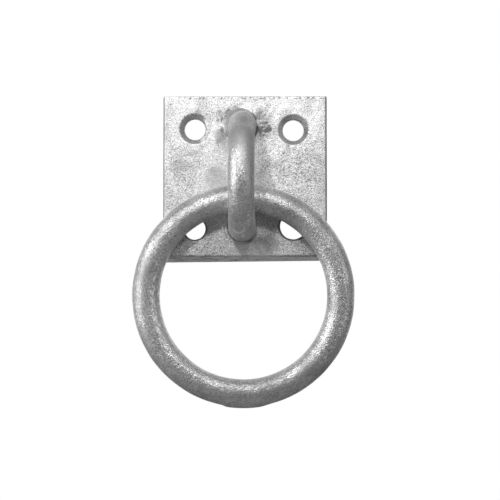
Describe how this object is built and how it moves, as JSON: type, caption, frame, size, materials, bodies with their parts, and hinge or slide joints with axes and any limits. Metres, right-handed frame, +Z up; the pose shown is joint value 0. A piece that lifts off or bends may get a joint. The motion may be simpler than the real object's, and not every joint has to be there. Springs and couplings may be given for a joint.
{
  "type": "ring on plate",
  "caption": "Galvanised steel ring hanging in a round-bar staple welded to a square wall plate with countersunk screw holes.",
  "frame": {"origin": "middle of the four screw holes, on the plate's back face, where it meets the wall", "axes": "+Z up the wall, -Y out of the wall towards the viewer, +X to the viewer's right; the ring hangs towards -Z"},
  "size_m": [0.067, 0.0275, 0.0947],
  "materials": {
    "galvanised_steel": "hot-dip galvanised, dull silver grey with a fine grain"
  },
  "bodies": {
    "fixing": {"plate": "galvanised_steel", "staple": "galvanised_steel", "upper_foot_weld": "galvanised_steel", "lower_foot_weld": "galvanised_steel"},
    "ring": {"ring": "galvanised_steel"}
  },
  "joints": [
    {"name": "ring_lift", "type": "hinge", "parent": "fixing", "child": "ring", "pos_m": [-0.00007, -0.00845, -0.0062], "axis": [-1, 0, 0], "range_deg": [0, 180]}
  ]
}
